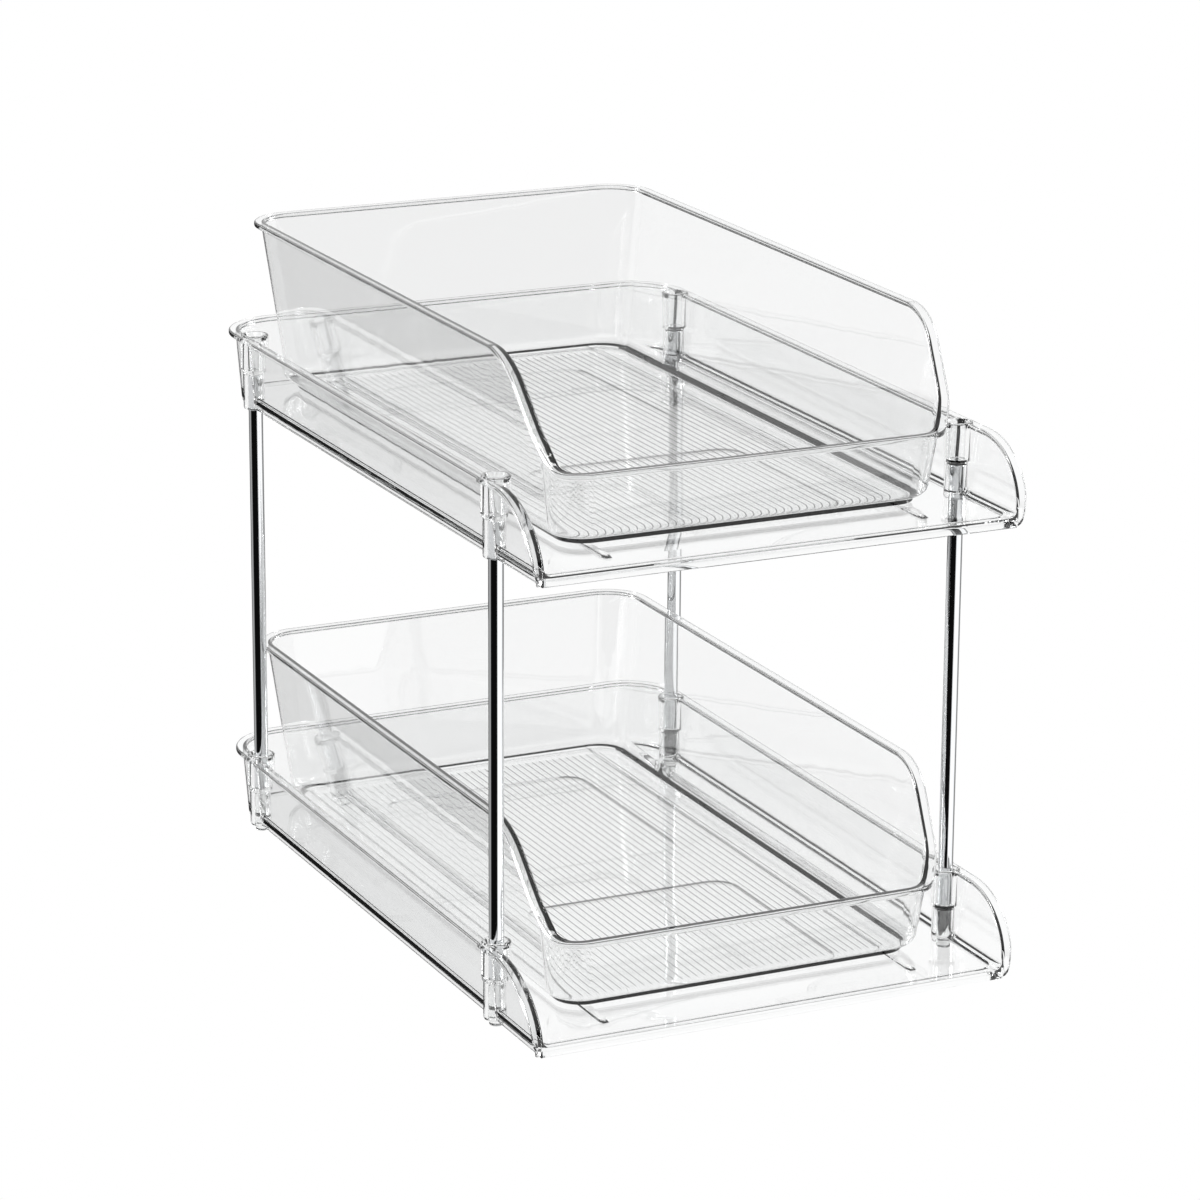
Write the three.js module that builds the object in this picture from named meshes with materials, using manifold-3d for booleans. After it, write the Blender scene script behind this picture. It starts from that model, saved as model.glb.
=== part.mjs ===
// Two-tier pull-out organiser: two clear trays one above the other on four round metal posts,
// and a clear bin that slides forward out of each tray.
// Millimetres, +Z up, -Y to the front. The origin is on the surface that the feet stand on,
// under the middle of the trays.

import * as THREE from 'three';
import { mergeVertices } from 'three/addons/utils/BufferGeometryUtils.js';
import Module from 'manifold-3d';

const wasm = await Module();
wasm.setup();

// ---- driving dimensions ------------------------------------------------------------------

const WIDTH = 210; // over the lips of a tray
const DEPTH = 324; // front edge of a tray to the back of its lip
const TIER_PITCH = 183.5; // from one tray's bottom edge to the next one's
const FOOT_HEIGHT = 2.5; // bottom edge of the lower tray above the surface
const WALL = 1.8; // thickness of every moulded wall
const LIP = 2.7; // how far a rim's lip stands out of its wall
const LIP_HEIGHT = 2.2; // thickness of the lip, measured down from the rim
const GAP = 0.3; // clearance between pieces that touch

const TRAY_HEIGHT = 31.4; // bottom edge to rim
const TRAY_DRAFT = 0.07; // the walls lean out by this much per unit of height
const TRAY_CORNER = 23.3; // plan radius of the rear corners, on the wall
const TRAY_FILLET = 4; // radius along the outer bottom edge
const TRAY_FLOOR_BOTTOM = 2.1;
const TRAY_FLOOR_TOP = 4.3;
const TRAY_INNER_FILLET = 3;
const SIDE_DROP_LENGTH = 32.15; // length of the curve in which a side wall falls at the front

const RUNNER_X = 66.5; // middle of each guide rib that a bin slides on
const RUNNER_WIDTH = 4;
const RUNNER_TOP = 5.1;
const RUNNER_FRONT = -149.7;
const RUNNER_BACK = 155;

const SOCKET_X = 97.9; // post centres, also the middle of the moulded sockets
const SOCKET_FRONT_Y = -116.7;
const SOCKET_REAR_Y = 129.3;
const SOCKET_RADIUS = 5.75; // upper half of a socket
const SOCKET_LOWER_RADIUS = 5;
const SOCKET_STEP_Z = 16; // where the radius changes
const SOCKET_TOP = TRAY_HEIGHT + 0.5;
const WEB_BOTTOM = 15; // the wall that closes a socket between its two bores
const WEB_TOP = 17;

const POST_RADIUS = 3;
const BORE_RADIUS = POST_RADIUS + GAP;
const MOUTH_RADIUS = 4; // a socket's upper bore widens to this at its mouth
const MOUTH_DEPTH = 4;
const FOOT_RADIUS = 2.75; // below the tray
const FOOT_FLAT = 2.2; // radius of the flat that a foot stands on

const BIN_BOTTOM = RUNNER_TOP + GAP;
const BIN_TOP = 75.3; // rim at the back and sides
const BIN_FRONT_TOP = 34.7; // rim at the front
const BIN_HALF_WIDTH = 88.3; // outside of the wall at the level of the rim
const BIN_BACK = DEPTH / 2 - LIP;
const BIN_FRONT = -144.2; // where the front wall would reach at the height of BIN_TOP
const BIN_DRAFT = 0.13;
const BIN_CORNER = 17.3;
const BIN_FILLET = 5;
const BIN_STEP = 2; // below its rounded edge a bin's base goes straight down by this much
const SHOULDER_Y = -92.6; // the rim is level behind this and falls in front of it
const SHOULDER_RADIUS = 28;
const SHOULDER_ANGLE = THREE.MathUtils.degToRad(54.5);

const CORNER_STEPS = 5; // facets round a plan corner
const FILLET_STEPS = 3;
const ROUND_STEPS = 16; // facets round a post, bore or foot

// ---- shapes ------------------------------------------------------------------------------

// A closed three.js geometry as a solid that can be joined and cut.
function solid(geometry) {
  geometry.deleteAttribute('normal');
  geometry.deleteAttribute('uv');
  const merged = mergeVertices(geometry);
  const corners = merged.index.array;
  const triangles = [];
  for (let i = 0; i < corners.length; i += 3) {
    const [a, b, c] = corners.subarray(i, i + 3);
    if (a !== b && b !== c && c !== a) {
      triangles.push(a, b, c);
    }
  }
  return new wasm.Manifold(new wasm.Mesh({
    numProp: 3,
    vertProperties: merged.getAttribute('position').array,
    triVerts: new Uint32Array(triangles),
  }));
}

// The joined or cut solid back as a three.js geometry.
function toGeometry(manifold) {
  const mesh = manifold.getMesh();
  const geometry = new THREE.BufferGeometry();
  geometry.setAttribute('position', new THREE.BufferAttribute(mesh.vertProperties, 3));
  geometry.setIndex(new THREE.BufferAttribute(mesh.triVerts, 1));
  geometry.computeVertexNormals();
  return geometry;
}

// A solid whose level sections are rounded rectangles. Each level is its height, how far it
// is set in from the full half width, front and back, and its corner radius.
function loft(halfWidth, front, back, levels) {
  const outline = new THREE.Shape();
  outline.absarc(2, 2, 1, 0, Math.PI / 2);
  outline.absarc(-2, 2, 1, Math.PI / 2, Math.PI);
  outline.absarc(-2, -2, 1, Math.PI, 1.5 * Math.PI);
  outline.absarc(2, -2, 1, 1.5 * Math.PI, 2 * Math.PI);
  const steps = levels.length - 1;
  const options = { depth: steps, steps, bevelEnabled: false, curveSegments: CORNER_STEPS };
  const geometry = new THREE.ExtrudeGeometry(outline, options);
  const position = geometry.getAttribute('position');
  const middle = (front + back) / 2;
  const halfDepth = (back - front) / 2;
  for (let i = 0; i < position.count; i += 1) {
    const { z, inset, radius } = levels[Math.round(position.getZ(i))];
    const sideX = Math.sign(position.getX(i));
    const sideY = Math.sign(position.getY(i));
    const cornerX = sideX * (halfWidth - inset - radius);
    const cornerY = sideY * (halfDepth - inset - radius) + middle;
    const x = cornerX + radius * (position.getX(i) - 2 * sideX);
    const y = cornerY + radius * (position.getY(i) - 2 * sideY);
    position.setXYZ(i, x, y, z);
  }
  return solid(geometry);
}

// Levels of a wall that leans out by draft from a rounded bottom edge up to its top.
// The wall's inset is 0 at height rim.
function wallLevels({ bottom, fillet, top, rim, draft, corner, inset = 0 }) {
  const slant = Math.hypot(1, draft);
  const centreZ = bottom + fillet;
  const centreInset = draft * (rim - centreZ) + fillet * slant + inset;
  const levels = [];
  const sweep = Math.PI / 2 - Math.atan(draft);
  for (let i = 0; i <= FILLET_STEPS; i += 1) {
    const angle = sweep * i / FILLET_STEPS;
    levels.push({
      z: centreZ - fillet * Math.cos(angle),
      inset: centreInset - fillet * Math.sin(angle),
    });
  }
  levels.push({ z: top, inset: inset + draft * (rim - top) });
  // The plan corners tighten towards the bottom, half as fast as the wall comes in.
  return levels.map((level) => ({ ...level, radius: corner - level.inset / 2 - inset / 2 }));
}

// Points along an arc in the side view, as [y, z] pairs.
function arc(centreY, centreZ, radiusY, radiusZ, from, to, steps) {
  const points = [];
  for (let i = 0; i <= steps; i += 1) {
    const angle = from + (to - from) * i / steps;
    points.push([centreY + radiusY * Math.cos(angle), centreZ + radiusZ * Math.sin(angle)]);
  }
  return points;
}

// The same line moved to its right-hand side by distance, which is down for a rim that
// runs from the front to the back.
function lowered(points, distance) {
  return points.map(([y, z], i) => {
    const before = points[Math.max(i - 1, 0)];
    const after = points[Math.min(i + 1, points.length - 1)];
    const dy = after[0] - before[0];
    const dz = after[1] - before[1];
    const length = Math.hypot(dy, dz);
    return [y + distance * dz / length, z - distance * dy / length];
  });
}

// Everything below a rim line, right across the object.
function below(points) {
  const floor = -50;
  const [first, last] = [points[0], points[points.length - 1]];
  const outline = [[first[0], floor], ...points, [last[0], floor]];
  const shape = new THREE.Shape(outline.map(([y, z]) => new THREE.Vector2(y, z)));
  const geometry = new THREE.ExtrudeGeometry(shape, { depth: 2 * WIDTH, bevelEnabled: false });
  geometry.translate(0, 0, -WIDTH);
  const xAxis = new THREE.Vector3(1, 0, 0);
  const yAxis = new THREE.Vector3(0, 1, 0);
  const zAxis = new THREE.Vector3(0, 0, 1);
  geometry.applyMatrix4(new THREE.Matrix4().makeBasis(yAxis, zAxis, xAxis));
  return solid(geometry);
}

// A solid of revolution about a vertical axis, from [radius, z] pairs that go up.
function turned(profile) {
  const points = profile.map(([radius, z]) => new THREE.Vector2(radius, z));
  const geometry = new THREE.LatheGeometry(points, ROUND_STEPS);
  geometry.rotateX(Math.PI / 2);
  return geometry;
}

function turnedAt(profile, x, y) {
  return solid(turned(profile).translate(x, y, 0));
}

// A bar with round ends, lying along Y.
function bar(x, front, back, width, bottom, top) {
  const radius = width / 2;
  const shape = new THREE.Shape();
  shape.absarc(x, back - radius, radius, 0, Math.PI);
  shape.absarc(x, front + radius, radius, Math.PI, 2 * Math.PI);
  const options = { depth: top - bottom, bevelEnabled: false, curveSegments: 6 };
  return solid(new THREE.ExtrudeGeometry(shape, options).translate(0, 0, bottom));
}

// Where the posts stand, by name.
const corners = [
  { name: 'front_left', x: -SOCKET_X, y: SOCKET_FRONT_Y },
  { name: 'front_right', x: SOCKET_X, y: SOCKET_FRONT_Y },
  { name: 'rear_left', x: -SOCKET_X, y: SOCKET_REAR_Y },
  { name: 'rear_right', x: SOCKET_X, y: SOCKET_REAR_Y },
];

// ---- tray --------------------------------------------------------------------------------

// The rim of a tray in side view: up the front edge, over the curved end of the side wall and
// level to the back.
function trayRim() {
  const front = -DEPTH / 2;
  const curveZ = TRAY_FILLET + 0.5;
  const toe = arc(front + TRAY_FILLET, TRAY_FILLET, TRAY_FILLET, TRAY_FILLET,
    -Math.PI / 2, -Math.PI, 3);
  const drop = arc(front + SIDE_DROP_LENGTH, curveZ, SIDE_DROP_LENGTH, TRAY_HEIGHT - curveZ,
    Math.PI, Math.PI / 2, 9);
  return [...toe, ...drop, [DEPTH, TRAY_HEIGHT]];
}

// Open at the front: a floor, three walls with a lip, runners for the bin and four sockets.
function tray() {
  const rim = trayRim();
  const halfWidth = WIDTH / 2 - LIP;
  const back = DEPTH / 2 - LIP;
  const front = -DEPTH / 2 - 3 * TRAY_CORNER; // the loft runs on and is cut off at the front
  const wall = { rim: TRAY_HEIGHT, draft: TRAY_DRAFT, corner: TRAY_CORNER };
  const outer = loft(halfWidth, front, back,
    wallLevels({ ...wall, bottom: 0, fillet: TRAY_FILLET, top: TRAY_HEIGHT + 1 }));
  const cavity = loft(halfWidth, front, back, wallLevels({
    ...wall, bottom: TRAY_FLOOR_TOP, fillet: TRAY_INNER_FILLET, top: TRAY_HEIGHT + 1, inset: WALL,
  }));
  const lipRadius = TRAY_CORNER + LIP;
  const lipBlock = loft(halfWidth, front, back, [
    { z: TRAY_FILLET / 2, inset: TRAY_DRAFT * (TRAY_HEIGHT - TRAY_FILLET / 2) - LIP, radius: lipRadius },
    { z: TRAY_HEIGHT, inset: -LIP, radius: lipRadius },
  ]);
  const lip = lipBlock.intersect(below(rim).subtract(below(lowered(rim, LIP_HEIGHT))));
  const footing = 2 * TRAY_FILLET; // width of the wall's foot round the recess underneath
  const recess = loft(halfWidth - footing, front, back - footing, [
    { z: -1, inset: 0, radius: TRAY_CORNER - footing },
    { z: TRAY_FLOOR_BOTTOM, inset: 0, radius: TRAY_CORNER - footing },
  ]);
  const behindSkirt = below([[-DEPTH / 2 + 1.4 * TRAY_FILLET, WIDTH], [DEPTH, WIDTH]]);

  let body = outer.intersect(below(rim)).add(lip).subtract(cavity);
  body = body.subtract(recess.intersect(behindSkirt));
  for (const side of [-1, 1]) {
    const runnerBottom = TRAY_FLOOR_BOTTOM + 1;
    body = body.add(bar(side * RUNNER_X, RUNNER_FRONT, RUNNER_BACK, RUNNER_WIDTH,
      runnerBottom, RUNNER_TOP));
  }
  for (const { x, y } of corners) {
    body = body.add(turnedAt(SOCKET_PROFILE, x, y));
  }
  for (const { x, y } of corners) {
    body = body.subtract(turnedAt(UPPER_BORE, x, y)).subtract(turnedAt(LOWER_BORE, x, y));
  }
  return toGeometry(body);
}

const SOCKET_PROFILE = [
  [0, 0],
  [SOCKET_LOWER_RADIUS - 0.9, 0],
  [SOCKET_LOWER_RADIUS, 1.2],
  [SOCKET_LOWER_RADIUS, SOCKET_STEP_Z - 0.4],
  [SOCKET_RADIUS, SOCKET_STEP_Z + 0.4],
  [SOCKET_RADIUS, SOCKET_TOP],
  [0, SOCKET_TOP],
];

const UPPER_BORE = [
  [0, WEB_TOP],
  [BORE_RADIUS, WEB_TOP],
  [BORE_RADIUS, SOCKET_TOP - MOUTH_DEPTH],
  [MOUTH_RADIUS, SOCKET_TOP - 0.5],
  [MOUTH_RADIUS, SOCKET_TOP + 1],
  [0, SOCKET_TOP + 1],
];

const LOWER_BORE = [
  [0, -1],
  [BORE_RADIUS, -1],
  [BORE_RADIUS, WEB_BOTTOM],
  [0, WEB_BOTTOM],
];

// ---- bin ---------------------------------------------------------------------------------

// The rim of a bin in side view: low across the front, up through a hollow curve, a straight
// slope and a rounded shoulder, and level to the back.
function binRim() {
  const shoulder = arc(SHOULDER_Y, BIN_TOP - SHOULDER_RADIUS, SHOULDER_RADIUS, SHOULDER_RADIUS,
    Math.PI / 2 + SHOULDER_ANGLE, Math.PI / 2, 8);
  const hollow = arc(-136.5, BIN_FRONT_TOP + 5, 5, 5, -Math.PI / 2, -THREE.MathUtils.degToRad(16), 4);
  const foot = [-129.1, 44.8]; // the slope steepens below this
  return [[-DEPTH, BIN_FRONT_TOP], ...hollow, foot, ...shoulder, [DEPTH, BIN_TOP]];
}

// An open box with leaning walls, a rounded edge over an upright base and a lip all round.
function bin() {
  const rim = binRim();
  const wall = { rim: BIN_TOP, top: BIN_TOP + 1, draft: BIN_DRAFT, corner: BIN_CORNER };
  const edge = BIN_BOTTOM + BIN_STEP;
  const outside = wallLevels({ ...wall, bottom: edge, fillet: BIN_FILLET });
  const base = { ...outside[0], z: BIN_BOTTOM };
  const outer = loft(BIN_HALF_WIDTH, BIN_FRONT, BIN_BACK, [base, ...outside]);
  const cavity = loft(BIN_HALF_WIDTH, BIN_FRONT, BIN_BACK,
    wallLevels({ ...wall, bottom: BIN_BOTTOM + WALL, fillet: BIN_FILLET, inset: WALL }));
  const lipBottom = BIN_FRONT_TOP - 2 * LIP_HEIGHT;
  const lipBlock = loft(BIN_HALF_WIDTH, BIN_FRONT, BIN_BACK, [
    { z: lipBottom, inset: BIN_DRAFT * (BIN_TOP - lipBottom) - LIP, radius: BIN_CORNER },
    { z: BIN_TOP, inset: -LIP, radius: BIN_CORNER + LIP },
  ]);
  const lip = lipBlock.intersect(below(rim).subtract(below(lowered(rim, LIP_HEIGHT))));
  return toGeometry(outer.intersect(below(rim)).add(lip).subtract(cavity));
}

// ---- posts and feet ----------------------------------------------------------------------

// A plain round rod between the two trays, from web to web.
const POST_BOTTOM = FOOT_HEIGHT + WEB_TOP + GAP;
const POST_TOP = FOOT_HEIGHT + TIER_PITCH + WEB_BOTTOM - GAP;

function post() {
  const length = POST_TOP - POST_BOTTOM;
  const geometry = new THREE.CylinderGeometry(POST_RADIUS, POST_RADIUS, length, ROUND_STEPS);
  return geometry.rotateX(Math.PI / 2);
}

// A plug in a socket's lower bore, with a short rounded foot below the tray.
function foot() {
  return turned([
    [0, 0],
    [FOOT_FLAT, 0],
    [FOOT_RADIUS, FOOT_RADIUS - FOOT_FLAT],
    [FOOT_RADIUS, FOOT_HEIGHT],
    [POST_RADIUS, FOOT_HEIGHT + GAP],
    [POST_RADIUS, FOOT_HEIGHT + WEB_BOTTOM - GAP],
    [0, FOOT_HEIGHT + WEB_BOTTOM - GAP],
  ]);
}

// ---- the object --------------------------------------------------------------------------

function clearPlastic() {
  return new THREE.MeshStandardMaterial({
    color: 0xeef2f4, roughness: 0.05, metalness: 0, transparent: true, opacity: 0.3,
  });
}

function chromedSteel() {
  return new THREE.MeshStandardMaterial({ color: 0xc4c7ca, roughness: 0.12, metalness: 1 });
}

function named(name, geometry, material, x = 0, y = 0, z = 0) {
  const mesh = new THREE.Mesh(geometry, material);
  mesh.name = name;
  mesh.position.set(x, y, z);
  return mesh;
}

// A tray with its bin in it; both are drawn from the tray's bottom edge up.
function tier(name, z) {
  const group = new THREE.Group();
  group.position.z = z;
  group.add(named(`${name}_tray`, tray(), clearPlastic()));
  group.add(named(`${name}_bin`, bin(), clearPlastic()));
  return group;
}

const organiser = new THREE.Group();
organiser.add(tier('lower', FOOT_HEIGHT));
organiser.add(tier('upper', FOOT_HEIGHT + TIER_PITCH));
for (const { name, x, y } of corners) {
  const middle = (POST_BOTTOM + POST_TOP) / 2;
  organiser.add(named(`post_${name}`, post(), chromedSteel(), x, y, middle));
  organiser.add(named(`foot_${name}`, foot(), clearPlastic(), x, y, 0));
}

export default organiser;
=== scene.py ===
import math

import bmesh
import bpy
from mathutils import Matrix, Vector


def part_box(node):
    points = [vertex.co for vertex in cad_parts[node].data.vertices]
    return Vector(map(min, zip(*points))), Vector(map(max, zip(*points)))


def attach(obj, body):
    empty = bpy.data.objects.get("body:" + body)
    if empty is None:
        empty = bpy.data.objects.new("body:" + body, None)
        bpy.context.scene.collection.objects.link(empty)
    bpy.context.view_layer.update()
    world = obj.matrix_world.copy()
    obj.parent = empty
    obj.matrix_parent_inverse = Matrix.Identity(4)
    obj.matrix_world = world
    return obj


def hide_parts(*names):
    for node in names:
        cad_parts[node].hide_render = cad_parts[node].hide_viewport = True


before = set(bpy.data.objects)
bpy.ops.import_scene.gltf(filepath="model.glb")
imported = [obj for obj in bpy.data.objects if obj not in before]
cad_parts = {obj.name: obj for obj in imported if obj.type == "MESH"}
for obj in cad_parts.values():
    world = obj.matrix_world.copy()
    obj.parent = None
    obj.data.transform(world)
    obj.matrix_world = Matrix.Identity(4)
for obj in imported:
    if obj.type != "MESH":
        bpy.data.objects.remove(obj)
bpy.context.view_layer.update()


# ---- the two trays -----------------------------------------------------------------------
# Each tray is one injection moulding in clear styrene: a floor, three low walls with a rolled
# lip, two runners for the bin and a post socket near each corner. Both come from one mould.

MILLIMETRE = 0.001

tray_low, tray_high = (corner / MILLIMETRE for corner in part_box("lower_tray"))
tray_base = {"lower": tray_low.z, "upper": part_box("upper_tray")[0].z / MILLIMETRE}
tray_width = tray_high.x - tray_low.x
tray_front = tray_low.y
tray_back = tray_high.y

lip_out = 2.7            # the lip stands out of the wall by this much
lip_height = 2.2
wall = 1.8               # thickness
tray_height = 31.4
tray_lean = 0.07         # outward lean of the walls, per unit of height
tray_corner = 23.3       # plan radius of the rear corners
tray_edge_outside = 2.5  # radius under the walls, outside and inside
tray_edge_inside = 3
tray_floor_bottom = 2.8
tray_floor_top = 4.3
tray_half = tray_width / 2 - lip_out
tray_wall_back = tray_back - lip_out
side_drop = 32.15        # length of the curve in which a side wall falls at the front
toe_radius = 4
skirt_depth = 5.6        # the floor's rounded front edge, from front to back
rim_trim = 0.4           # walls stop this far below the rim line, inside the lip
lip_overlap = 0.04       # the lip stops short of a wall's inner face by this much
blank_spare = 1          # blanks are made taller than the rim by this much, then trimmed


def as_object(name, mesh):
    piece = bpy.data.objects.new(name, mesh)
    bpy.context.scene.collection.objects.link(piece)
    return piece


def lofted(name, rings, closed=False):
    """A closed skin over rings of points, with flat ends unless the rings meet in a loop."""
    form = bmesh.new()
    rows = [[form.verts.new(Vector(point) * MILLIMETRE) for point in ring] for ring in rings]
    pairs = list(zip(rows, rows[1:]))
    if closed:
        pairs.append((rows[-1], rows[0]))
    for near, far in pairs:
        for i in range(len(near)):
            j = (i + 1) % len(near)
            form.faces.new((near[i], near[j], far[j], far[i]))
    if not closed:
        form.faces.new(rows[0])
        form.faces.new(rows[-1])
    bmesh.ops.recalc_face_normals(form, faces=form.faces)
    mesh = bpy.data.meshes.new(name)
    form.to_mesh(mesh)
    form.free()
    return as_object(name, mesh)


def work(body, operation, tool):
    """Joins tool to body, cuts it away or keeps what both hold, and uses the tool up."""
    step = body.modifiers.new("work", "BOOLEAN")
    step.operation = operation
    step.solver = "MANIFOLD"
    step.object = tool
    depsgraph = bpy.context.evaluated_depsgraph_get()
    result = bpy.data.meshes.new_from_object(body.evaluated_get(depsgraph))
    body.modifiers.clear()
    body.data = result
    body.data.materials.clear()
    bpy.data.objects.remove(tool)
    return body


def rounded_ring(half, front, back, inset, radius, z, steps=14):
    """A level rounded rectangle, set in from the given half width, front and back."""
    points = []
    for quarter, (side_x, side_y) in enumerate(((1, 1), (-1, 1), (-1, -1), (1, -1))):
        centre_x = side_x * (half - inset - radius)
        centre_y = back - inset - radius if side_y > 0 else front + inset + radius
        for i in range(steps + 1):
            angle = (quarter + i / steps) * math.pi / 2
            points.append((centre_x + radius * math.cos(angle),
                           centre_y + radius * math.sin(angle), z))
    return points


def wall_rings(half, front, back, bottom, fillet, top, rim, lean, corner, inset=0, steps=10):
    """Rings of a leaning wall that rises from a rounded bottom edge."""
    centre_z = bottom + fillet
    centre_inset = lean * (rim - centre_z) + fillet * math.hypot(1, lean) + inset
    sweep = math.pi / 2 - math.atan(lean)
    levels = []
    for i in range(steps + 1):
        angle = sweep * i / steps
        levels.append((centre_z - fillet * math.cos(angle),
                       centre_inset - fillet * math.sin(angle)))
    levels.append((top, inset + lean * (rim - top)))
    return [rounded_ring(half, front, back, level_inset, corner - (level_inset + inset) / 2, z)
            for z, level_inset in levels]


def arc(centre_y, centre_z, radius_y, radius_z, start, end, steps):
    """Points of an arc in the side view, as (y, z)."""
    points = []
    for i in range(steps + 1):
        angle = start + (end - start) * i / steps
        points.append((centre_y + radius_y * math.cos(angle),
                       centre_z + radius_z * math.sin(angle)))
    return points


def lowered(line, distance):
    """A rim line that runs from front to back, moved down square to itself."""
    moved = []
    for i, (y, z) in enumerate(line):
        before = line[max(i - 1, 0)]
        after = line[min(i + 1, len(line) - 1)]
        length = math.dist(before, after)
        moved.append((y + distance * (after[1] - before[1]) / length,
                      z - distance * (after[0] - before[0]) / length))
    return moved


def under(line, half=150, depth=50):
    """Everything below a rim line, right across the object."""
    outline = [(line[0][0], -depth), *line, (line[-1][0], -depth)]
    return lofted("under", [[(x, y, z) for y, z in outline] for x in (-half, half)])


def lip_section(out, height, thickness, edge=0.75, steps=4):
    """The lip cut across, as (out from the wall's face, down from the rim), edges rounded."""
    points = []
    for centre_out, centre_down, start in ((out - edge, edge, -90), (out - edge, height - edge, 0),
                                           (-thickness + edge, height - edge, 90),
                                           (-thickness + edge, edge, 180)):
        for i in range(steps + 1):
            angle = math.radians(start + 90 * i / steps)
            points.append((centre_out + edge * math.cos(angle),
                           centre_down + edge * math.sin(angle)))
    return points


def lip_along(name, path, section, closed=False):
    """The lip's section carried along the rim. path holds (place, outward) pairs."""
    rings = []
    count = len(path)
    for i, (place, outward) in enumerate(path):
        if closed:
            before, after = path[i - 1][0], path[(i + 1) % count][0]
        else:
            before, after = path[max(i - 1, 0)][0], path[min(i + 1, count - 1)][0]
        inward_along_wall = outward.cross(after - before).normalized()
        rings.append([place + out * outward + down * inward_along_wall
                      for out, down in section])
    return lofted(name, rings, closed)


def tray_rim():
    """Up the front edge and over the curved end of the side wall to its full height."""
    curve_z = 4.5
    toe = arc(tray_front + toe_radius, toe_radius, toe_radius, toe_radius,
              -math.pi / 2, -math.pi, 8)
    drop = arc(tray_front + side_drop, curve_z, side_drop, tray_height - curve_z,
               math.pi, math.pi / 2, 28)
    return toe + drop


def tray_lip_path():
    """From the left toe back along the rim, round the rear corners and out to the right toe."""
    steps = 24
    lip_at_toe = 0.1        # the lip grows out of the wall from this share of its reach,
    lip_growth = 0.06       # by this much more at each point
    left = []
    for i, (y, z) in enumerate(tray_rim()):
        half = tray_half - tray_lean * (tray_height - z)
        share = min(1, lip_at_toe + lip_growth * i)
        left.append((Vector((-half, y, z)), Vector((-share, 0, 0))))
    rear = []
    ring = rounded_ring(tray_half, tray_front, tray_wall_back, 0, tray_corner, tray_height, steps)
    for i in range(steps + 1):
        angle = math.pi / 2 * (1 + i / steps)
        place = Vector(ring[steps + 1 + i])
        rear.append((place, Vector((math.cos(angle), math.sin(angle), 0))))
    half_path = left + rear[::-1]
    mirror = [(Vector((-place.x, place.y, place.z)), Vector((-out.x, out.y, 0)))
              for place, out in half_path]
    return half_path + mirror[::-1]


def bar(name, x, front, back, section, end):
    """A low bar along Y: section is (across, up) points, and the ends slope over end."""
    tip, knee, knee_at, narrowest = 0.05, 0.7, 0.35, 0.4
    rings = []
    base = min(up for across, up in section)
    for y, share in ((front, tip), (front + end * knee_at, knee), (front + end, 1),
                     (back - end, 1), (back - end * knee_at, knee), (back, tip)):
        rings.append([(x + across * (narrowest + 0.6 * share), y, base + (up - base) * share)
                      for across, up in section])
    return lofted(name, rings)


def turned(name, profile, x=0, y=0, z=0, steps=40):
    """A solid of revolution about a vertical line, from (radius, height) pairs."""
    rings = []
    for radius, height in profile:
        rings.append([(x + radius * math.cos(2 * math.pi * i / steps),
                       y + radius * math.sin(2 * math.pi * i / steps), z + height)
                      for i in range(steps)])
    return lofted(name, rings)


def smooth(piece, crease=35):
    """Smooth shading that stays flat on flat faces and breaks at edges over crease degrees."""
    piece.data.shade_smooth()
    piece.data.set_sharp_from_angle(angle=math.radians(crease))
    weighted = piece.modifiers.new("normals", "WEIGHTED_NORMAL")
    weighted.keep_sharp = True
    return piece


post_low, post_high = (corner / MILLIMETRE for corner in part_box("post_front_left"))
rear_low, rear_high = (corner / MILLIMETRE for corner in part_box("post_rear_left"))
socket_x = -(post_low.x + post_high.x) / 2
socket_y = {"front": (post_low.y + post_high.y) / 2, "rear": (rear_low.y + rear_high.y) / 2}
corners = {f"{end}_{side}": (sign * socket_x, socket_y[end])
           for end in ("front", "rear") for side, sign in (("left", -1), ("right", 1))}

socket_top = tray_height + 0.5
socket_profile = ((3.9, 0), (4.7, 0.35), (5, 1.2), (5, 15.6), (5.2, 15.95), (5.75, 16.4),
                  (5.75, socket_top - 0.5), (5.45, socket_top - 0.12), (5.2, socket_top))
upper_bore = ((3.25, 17), (3.25, 28), (3.6, 30), (4.4, socket_top), (4.4, socket_top + 1))
lower_bore = ((3.25, -1), (3.25, 15))

runner_x = 66.5
runner_front = -149.7
runner_back = 155
runner_end = 5           # length of the slope at each end
runner_section = ((-2, -1.2), (-1.9, 0.5), (-1.4, 0.8), (1.4, 0.8), (1.9, 0.5), (2, -1.2))


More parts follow.
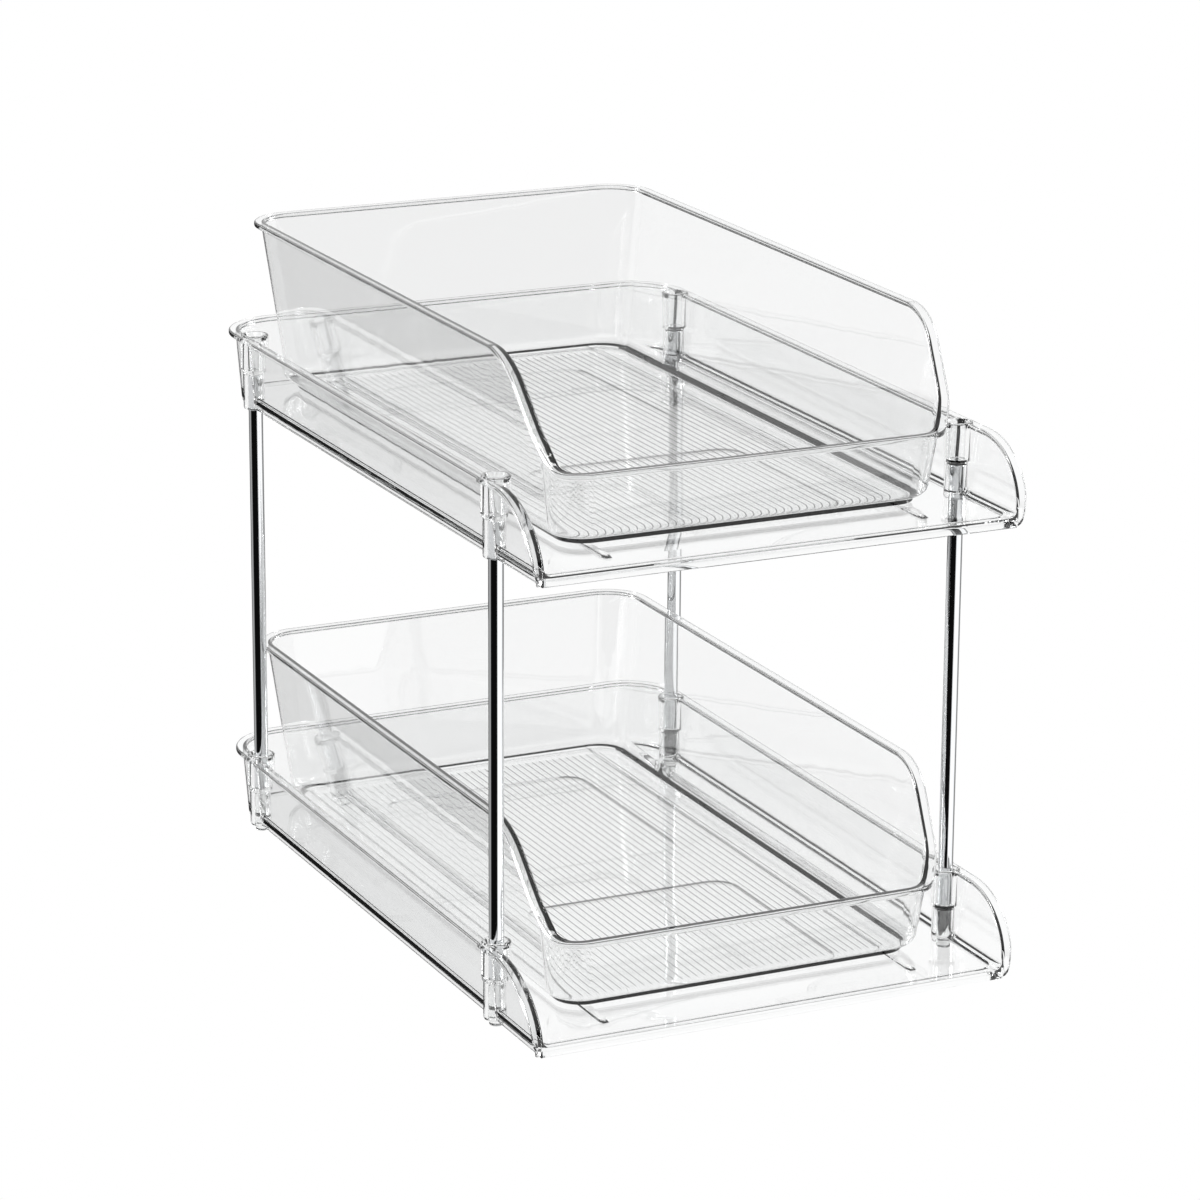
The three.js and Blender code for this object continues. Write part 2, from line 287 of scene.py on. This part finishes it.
def tray_moulding(name):
    """One tray, with heights from its bottom edge up."""
    beyond_front = 60       # the blank has a front wall too, which the rim line cuts away
    beyond_back = 200
    spread = dict(half=tray_half, front=tray_front - beyond_front, back=tray_wall_back,
                  rim=tray_height, top=tray_height + blank_spare, lean=tray_lean,
                  corner=tray_corner)
    rim = tray_rim() + [(beyond_back, tray_height)]
    body = lofted(name, wall_rings(bottom=0, fillet=tray_edge_outside, **spread))
    work(body, "INTERSECT", under(lowered(rim, rim_trim)))
    cavity = wall_rings(bottom=tray_floor_top, fillet=tray_edge_inside, inset=wall, **spread)
    work(body, "DIFFERENCE", lofted("cavity", cavity))

    # The floor's front edge is a rounded bar between the side walls.
    skirt = [(tray_front + back, z) for back, z in (
        (skirt_depth, 0.4), (1.4, 0.05), (0.4, 0.5), (0.05, 1.4), (0.2, 2.9), (0.8, 3.8),
        (2.2, 4.25), (skirt_depth, tray_floor_top))]
    sunk_in_wall = 1
    edge_half = tray_half - tray_lean * tray_height - sunk_in_wall
    work(body, "UNION", lofted("skirt", [[(x, y, z) for y, z in skirt]
                                         for x in (-edge_half, edge_half)]))
    section = lip_section(lip_out, lip_height, wall - lip_overlap)
    work(body, "UNION", lip_along("lip", tray_lip_path(), section))

    # Underneath, the floor is set up from a narrow ring along the bottom edge.
    ring_width = 3
    recess_corner = 6
    recess = [rounded_ring(tray_half - ring_width, tray_front + skirt_depth,
                           tray_wall_back - ring_width, inset, recess_corner, z)
              for z, inset in ((-1, -0.1), (tray_floor_bottom, 0.3))]
    work(body, "DIFFERENCE", lofted("recess", recess))

    # Two shallow panels sunk into the floor, one behind the other.
    panel_half = 46
    panel_corner = 10
    panel_depth = 0.8
    panel_draft = 0.05
    panel_levels = ((tray_floor_top - panel_depth, panel_draft), (tray_floor_top + 1, -panel_draft))
    for panel_front, panel_back in ((-128, -27), (13, 119)):
        panel = [rounded_ring(panel_half, panel_front, panel_back, inset, panel_corner, z, 8)
                 for z, inset in panel_levels]
        work(body, "DIFFERENCE", lofted("panel", panel))

    # The runners: flat-topped bars with sloping ends.
    runner = [(across, tray_floor_top + up) for across, up in runner_section]
    for x in (-runner_x, runner_x):
        work(body, "UNION", bar("runner", x, runner_front, runner_back, runner, runner_end))

    for x, y in corners.values():
        work(body, "UNION", turned("socket", socket_profile, x, y))
    for x, y in corners.values():
        work(body, "DIFFERENCE", turned("bore", upper_bore, x, y))
        work(body, "DIFFERENCE", turned("bore", lower_bore, x, y))
    return body


def clear_styrene(name, tint, haze, density):
    """Clear moulded plastic: a trace of tint, a gloss that varies a little from the mould's
    polish, and faint flow waves."""
    material = bpy.data.materials.new(name)
    material.use_nodes = True
    nodes = material.node_tree.nodes
    links = material.node_tree.links
    shader = nodes["Principled BSDF"]
    shader.inputs["IOR"].default_value = 1.57
    shader.inputs["Transmission Weight"].default_value = 1.0
    shader.inputs["Specular IOR Level"].default_value = 0.5
    place = nodes.new("ShaderNodeTexCoord")

    cloud = nodes.new("ShaderNodeTexNoise")
    cloud.inputs["Scale"].default_value = 14
    cloud.inputs["Detail"].default_value = 3
    links.new(place.outputs["Object"], cloud.inputs["Vector"])
    colour = nodes.new("ShaderNodeValToRGB")
    colour.color_ramp.elements[0].position = 0.3
    colour.color_ramp.elements[0].color = (*tint, 1)
    colour.color_ramp.elements[1].position = 0.7
    colour.color_ramp.elements[1].color = (*(0.4 + 0.6 * channel for channel in tint), 1)
    links.new(cloud.outputs["Fac"], colour.inputs["Fac"])
    links.new(colour.outputs["Color"], shader.inputs["Base Color"])

    polish = nodes.new("ShaderNodeMapRange")
    polish.inputs["To Min"].default_value = haze * 0.4
    polish.inputs["To Max"].default_value = haze
    links.new(cloud.outputs["Fac"], polish.inputs["Value"])
    links.new(polish.outputs["Result"], shader.inputs["Roughness"])

    wave = nodes.new("ShaderNodeTexNoise")
    wave.inputs["Scale"].default_value = 55
    wave.inputs["Detail"].default_value = 1
    links.new(place.outputs["Object"], wave.inputs["Vector"])
    bump = nodes.new("ShaderNodeBump")
    bump.inputs["Strength"].default_value = 0.12
    bump.inputs["Distance"].default_value = 0.0004
    links.new(wave.outputs["Fac"], bump.inputs["Height"])
    links.new(bump.outputs["Normal"], shader.inputs["Normal"])

    # Long ways through the plastic come out darker: the edges show as dark lines.
    depth = nodes.new("ShaderNodeVolumeAbsorption")
    depth.inputs["Color"].default_value = (0.0, 0.02, 0.02, 1)
    depth.inputs["Density"].default_value = density
    links.new(depth.outputs["Volume"], nodes["Material Output"].inputs["Volume"])
    return material


tray_plastic = clear_styrene("clear_tray_plastic", (0.975, 0.98, 0.98), 0.02, 5)

tray_model = tray_moulding("tray_model")
for tier in ("lower", "upper"):
    tray = as_object(f"{tier}_tray_moulding", tray_model.data.copy())
    tray.data.transform(Matrix.Translation((0, 0, tray_base[tier] * MILLIMETRE)))
    smooth(tray)
    tray.data.materials.append(tray_plastic)
    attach(tray, "frame")
    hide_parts(f"{tier}_tray")
bpy.data.objects.remove(tray_model)


# ---- the four feet -----------------------------------------------------------------------
# Short clear plugs pushed up into the lower tray's sockets; their rounded ends carry the
# organiser just off the shelf.

foot_plastic = clear_styrene("clear_foot_plastic", (0.97, 0.975, 0.97), 0.06, 5)

for corner, (x, y) in corners.items():
    foot_height = tray_base["lower"]
    plug_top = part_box(f"foot_{corner}")[1].z / MILLIMETRE
    foot = turned(f"foot_{corner}_plug", (
        (2.0, 0), (2.45, 0.12), (2.7, 0.45), (2.75, 0.9), (2.75, foot_height),
        (3.0, foot_height + 0.4), (3.0, plug_top - 0.6), (2.6, plug_top)), x, y)
    smooth(foot)
    foot.data.materials.append(foot_plastic)
    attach(foot, "frame")
    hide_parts(f"foot_{corner}")


# ---- the four posts ----------------------------------------------------------------------
# Round steel rods, cut to one length, edges broken and chrome plated, pushed into the sockets
# of the tray below and the tray above.

chrome = bpy.data.materials.new("chrome_plate")
chrome.use_nodes = True
nodes = chrome.node_tree.nodes
links = chrome.node_tree.links
shader = nodes["Principled BSDF"]
shader.inputs["Metallic"].default_value = 1.0
place = nodes.new("ShaderNodeTexCoord")
drawn = nodes.new("ShaderNodeMapping")
drawn.inputs["Scale"].default_value = (900, 900, 25)   # fine lines along the rod
links.new(place.outputs["Object"], drawn.inputs["Vector"])
grain = nodes.new("ShaderNodeTexNoise")
grain.inputs["Scale"].default_value = 1
links.new(drawn.outputs["Vector"], grain.inputs["Vector"])
plate = nodes.new("ShaderNodeValToRGB")
plate.color_ramp.elements[0].color = (0.62, 0.63, 0.64, 1)
plate.color_ramp.elements[1].color = (0.74, 0.75, 0.76, 1)
links.new(grain.outputs["Fac"], plate.inputs["Fac"])
links.new(plate.outputs["Color"], shader.inputs["Base Color"])
gloss = nodes.new("ShaderNodeMapRange")
gloss.inputs["To Min"].default_value = 0.06
gloss.inputs["To Max"].default_value = 0.13
links.new(grain.outputs["Fac"], gloss.inputs["Value"])
links.new(gloss.outputs["Result"], shader.inputs["Roughness"])

for corner, (x, y) in corners.items():
    low, high = (end.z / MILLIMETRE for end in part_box(f"post_{corner}"))
    rod = turned(f"post_{corner}_rod", (
        (2.3, low), (2.7, low + 0.12), (2.95, low + 0.5), (2.95, high - 0.5),
        (2.7, high - 0.12), (2.3, high)), x, y)
    smooth(rod)
    rod.data.materials.append(chrome)
    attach(rod, "frame")
    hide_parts(f"post_{corner}")


# ---- the two bins ------------------------------------------------------------------------
# Each bin is one clear styrene moulding too: leaning walls with a lip, a small rounded edge over
# an upright base, a floor with fine ribs from front to back, and a front that dips so the
# contents show. It rests on the tray's runners and slides out by hand.

bin_low, bin_high = (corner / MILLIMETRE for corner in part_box("lower_bin"))
bin_bottom = bin_low.z - tray_base["lower"]
bin_top = bin_high.z - tray_base["lower"]
bin_half = bin_high.x - lip_out
bin_back = bin_high.y - lip_out
bin_front = -144.2       # where the front wall would reach at the level of the main rim
bin_front_top = 34.7
bin_lean = 0.13
bin_corner = 17.3
bin_fillet = 5
bin_step = 2             # below the rounded edge the base goes straight down by this much
shoulder_y = -92.6       # the rim is level behind this
shoulder_radius = 28
shoulder_turn = math.radians(54.5)
hollow_radius = 5
hollow_y = -136.5        # centre of the hollow where the low front turns up
hollow_end = math.radians(16)
hollow_steps = 10
slope_foot = (-129.1, 44.8)
rim_reach = 200          # rim lines run on past the bin by this much, front and back
rib_half = 0.17
rib_height = 0.16
rib_pitch = 3.27
rib_front = -126
rib_back = 138
ribs_each_side = 20


def bin_rim():
    """Low across the front, a hollow, a steep slope, a rounded shoulder, level to the back."""
    shoulder = arc(shoulder_y, bin_top - shoulder_radius, shoulder_radius, shoulder_radius,
                   math.pi / 2 + shoulder_turn, math.pi / 2, 22)
    hollow = arc(hollow_y, bin_front_top + hollow_radius, hollow_radius, hollow_radius,
                 -math.pi / 2, -hollow_end, hollow_steps)
    return [(-rim_reach, bin_front_top), *hollow, slope_foot, *shoulder, (rim_reach, bin_top)]


def rim_height(line, y):
    """The height of a rim line at y."""
    for (y0, z0), (y1, z1) in zip(line, line[1:]):
        if y0 <= y <= y1:
            return z0 + (z1 - z0) * (y - y0) / (y1 - y0)
    return line[-1][1]


def bin_lip_path(line):
    """The rim's outer line, all the way round, with more points where it climbs."""
    path = []

    def add(angle, centre_side_x, side_y, along=None):
        # The wall leans, so the place and the height are found together, in a few rounds.
        z = bin_top
        for _ in range(30):
            inset = bin_lean * (bin_top - z)
            radius = bin_corner - inset / 2
            x = centre_side_x * (bin_half - inset - radius) + radius * math.cos(angle)
            back_y = bin_back - inset - radius
            front_y = bin_front + inset + radius
            y = (back_y if side_y > 0 else front_y) + radius * math.sin(angle)
            if along is not None:
                y = along
            z = 0.5 * z + 0.5 * rim_height(line, y)
        path.append((Vector((x, y, z)), Vector((math.cos(angle), math.sin(angle), 0))))

    steps = 30
    corner_ends = bin_front + bin_corner + 4.5
    climb = [y for y, z in line[hollow_steps + 1:-1] if y > corner_ends]
    stations = climb + [-60, 0, 70]
    for i in range(steps + 1):
        add(-math.pi / 2 * (1 - i / steps), 1, -1)
    for y in stations:
        add(0, 1, 1, y)
    for i in range(steps + 1):
        add(math.pi / 2 * i / steps, 1, 1)
    for i in range(steps + 1):
        add(math.pi / 2 * (1 + i / steps), -1, 1)
    for y in stations[::-1]:
        add(math.pi, -1, 1, y)
    for i in range(steps + 1):
        add(math.pi * (1 + i / steps / 2), -1, -1)
    return path[::-1]


def bin_moulding(name):
    """One bin, with heights from its tray's bottom edge up."""
    rim = bin_rim()
    spread = dict(half=bin_half, front=bin_front, back=bin_back, rim=bin_top,
                  top=bin_top + blank_spare, lean=bin_lean, corner=bin_corner)
    edge_z = bin_bottom + bin_step
    outside = wall_rings(bottom=edge_z, fillet=bin_fillet, **spread)

    # The base is upright at the front and sides and slopes in at the back, with its lowest
    # edge broken: (in from the face, up from the bottom).
    base = []
    for inset, up in ((0.3, 0), (0.09, 0.09), (0, 0.3)):
        z = bin_bottom + up
        base.append([(x * (1 - inset / bin_half),
                      y * (1 - inset / bin_back) - (edge_z - z if y > 0 else 0), z)
                     for x, y, _ in outside[0]])
    body = lofted(name, base + outside)
    work(body, "INTERSECT", under(lowered(rim, rim_trim)))
    inside = wall_rings(bottom=bin_bottom + wall, fillet=bin_fillet, inset=wall, **spread)
    work(body, "DIFFERENCE", lofted("cavity", inside))
    section = lip_section(lip_out, lip_height, wall - lip_overlap)
    work(body, "UNION", lip_along("lip", bin_lip_path(rim), section, closed=True))

    # Fine ribs on the floor, from front to back, their feet sunk in it.
    floor_z = bin_bottom + wall
    foot_z = floor_z - 0.4
    crown = [(rib_half * math.cos(math.radians(angle)),
              floor_z + rib_height * math.sin(math.radians(angle)))
             for angle in range(0, 181, 30)]
    rib = [(rib_half, foot_z), *crown, (-rib_half, foot_z)]
    for count in range(-ribs_each_side, ribs_each_side + 1):
        work(body, "UNION", bar("rib", count * rib_pitch, rib_front, rib_back, rib, 1.5))
    return body


bin_plastic = clear_styrene("clear_bin_plastic", (0.985, 0.988, 0.988), 0.02, 22)

bin_model = bin_moulding("bin_model")
for tier in ("lower", "upper"):
    drawer = as_object(f"{tier}_bin_moulding", bin_model.data.copy())
    drawer.data.transform(Matrix.Translation((0, 0, tray_base[tier] * MILLIMETRE)))
    smooth(drawer)
    drawer.data.materials.append(bin_plastic)
    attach(drawer, f"{tier}_bin")
    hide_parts(f"{tier}_bin")
bpy.data.objects.remove(bin_model)


# ---- the studio --------------------------------------------------------------------------
# A wide pale floor that glows evenly, as a lit sweep does, with a white wall behind and a
# softbox to each side. The room in front is darker, which gives clear plastic its dark edges,
# and dark and light boards stand low down, for the posts to mirror.

floor_half = 30000
floor_corner = 5000
floor = lofted("studio_floor", [
    rounded_ring(floor_half, -floor_half, floor_half, 0, floor_corner, z) for z in (-30, -0.2)])
pale = bpy.data.materials.new("pale_floor")
pale.use_nodes = True
nodes = pale.node_tree.nodes
links = pale.node_tree.links
glow = nodes.new("ShaderNodeEmission")
glow.inputs["Color"].default_value = (1, 1, 1, 1)
glow.inputs["Strength"].default_value = 1.0
links.new(glow.outputs["Emission"], nodes["Material Output"].inputs["Surface"])
floor.data.materials.append(pale)
floor.visible_glossy = False   # polished faces mirror the room instead

world = bpy.data.worlds.new("studio")
bpy.context.scene.world = world
world.use_nodes = True
nodes = world.node_tree.nodes
links = world.node_tree.links
place = nodes.new("ShaderNodeTexCoord")
split = nodes.new("ShaderNodeSeparateXYZ")
links.new(place.outputs["Generated"], split.inputs["Vector"])


def grey_ramp(factor, stops):
    """A ramp of plain greys: stops are (position, level)."""
    ramp = nodes.new("ShaderNodeValToRGB")
    ramp.color_ramp.interpolation = "EASE"
    elements = ramp.color_ramp.elements
    for i, (position, level) in enumerate(stops):
        stop = elements[i] if i < 2 else elements.new(position)
        stop.position = position
        stop.color = (level, level, level, 1)
    links.new(factor, ramp.inputs["Fac"])
    return ramp.outputs["Color"]


# Above the horizon: a bright wall behind the object, a darker room in front and beside it.
wall_side = (0.4287, 0.9035, 0)
overhead = grey_ramp(split.outputs["Z"], ((0.0, 0.1), (0.12, 0.06), (0.28, 0.8), (1.0, 1.1)))
behind = nodes.new("ShaderNodeVectorMath")
behind.operation = "DOT_PRODUCT"
behind.inputs[1].default_value = wall_side
links.new(place.outputs["Generated"], behind.inputs[0])
wall_edge = nodes.new("ShaderNodeMapRange")
wall_edge.interpolation_type = "SMOOTHSTEP"
wall_edge.inputs["From Min"].default_value = 0.3
wall_edge.inputs["From Max"].default_value = 0.5
links.new(behind.outputs["Value"], wall_edge.inputs["Value"])
room = nodes.new("ShaderNodeMix")
room.data_type = "RGBA"
links.new(wall_edge.outputs["Result"], room.inputs["Factor"])
links.new(overhead, room.inputs["A"])
room.inputs["B"].default_value = (1, 1, 1, 1)

# Low down, round the compass: 0 and 1 face left, a quarter is the front.
compass = nodes.new("ShaderNodeMath")
compass.operation = "ARCTAN2"
links.new(split.outputs["Y"], compass.inputs[0])
links.new(split.outputs["X"], compass.inputs[1])
turn = nodes.new("ShaderNodeMapRange")
turn.inputs["From Min"].default_value = -math.pi
turn.inputs["From Max"].default_value = math.pi
links.new(compass.outputs["Value"], turn.inputs["Value"])
low_stops = ((0.0, 0.005), (0.22, 0.005), (0.26, 1.5), (0.44, 1.5), (0.5, 0.35), (0.64, 0.3),
             (0.68, 0.05), (0.8, 0.05), (0.84, 0.5), (0.93, 0.5), (0.97, 0.005))
low_down = grey_ramp(turn.outputs["Result"], low_stops)

is_low = nodes.new("ShaderNodeMath")
is_low.operation = "LESS_THAN"
is_low.inputs[1].default_value = 0.0
links.new(split.outputs["Z"], is_low.inputs[0])
choose = nodes.new("ShaderNodeMix")
choose.data_type = "RGBA"
links.new(is_low.outputs["Value"], choose.inputs["Factor"])
links.new(room.outputs["Result"], choose.inputs["A"])
links.new(low_down, choose.inputs["B"])
links.new(choose.outputs["Result"], nodes["Background"].inputs["Color"])


def soft_light(name, place, aim, width, height, power):
    light = bpy.data.lights.new(name, "AREA")
    light.shape = "RECTANGLE"
    light.size = width
    light.size_y = height
    light.energy = power
    lamp = bpy.data.objects.new(name, light)
    bpy.context.scene.collection.objects.link(lamp)
    lamp.location = place
    lamp.rotation_euler = (Vector(aim) - Vector(place)).to_track_quat("-Z", "Y").to_euler()


aim = (0, 0, 0.15)
soft_light("right_softbox", (3.2, -0.6, 1.6), aim, width=1.0, height=2.2, power=60)
soft_light("left_softbox", (-3.0, 1.2, 1.8), aim, width=0.8, height=2.0, power=40)

camera_place = (-0.7686, -1.6206, 0.6611)
camera_turn = -25.383    # degrees
camera_dip = 16.618
camera_roll = 0.3356
camera_data = bpy.data.cameras.new("camera")
camera_data.sensor_width = 36
camera_data.lens = 138.43
camera_data.clip_start = 0.05
camera_data.clip_end = 100
camera = bpy.data.objects.new("camera", camera_data)
bpy.context.scene.collection.objects.link(camera)
camera.matrix_world = (Matrix.Translation(camera_place)
                       @ Matrix.Rotation(math.radians(camera_turn), 4, "Z")
                       @ Matrix.Rotation(math.radians(90 - camera_dip), 4, "X")
                       @ Matrix.Rotation(math.radians(camera_roll), 4, "Z"))
bpy.context.scene.camera = camera

bpy.context.scene.view_settings.view_transform = "Standard"

# Light gives up after a few reflections inside the plastic: this too darkens its edges.
cycles = bpy.context.scene.cycles
cycles.max_bounces = 36
cycles.transmission_bounces = 28
cycles.glossy_bounces = 5

bpy.context.view_layer.update()
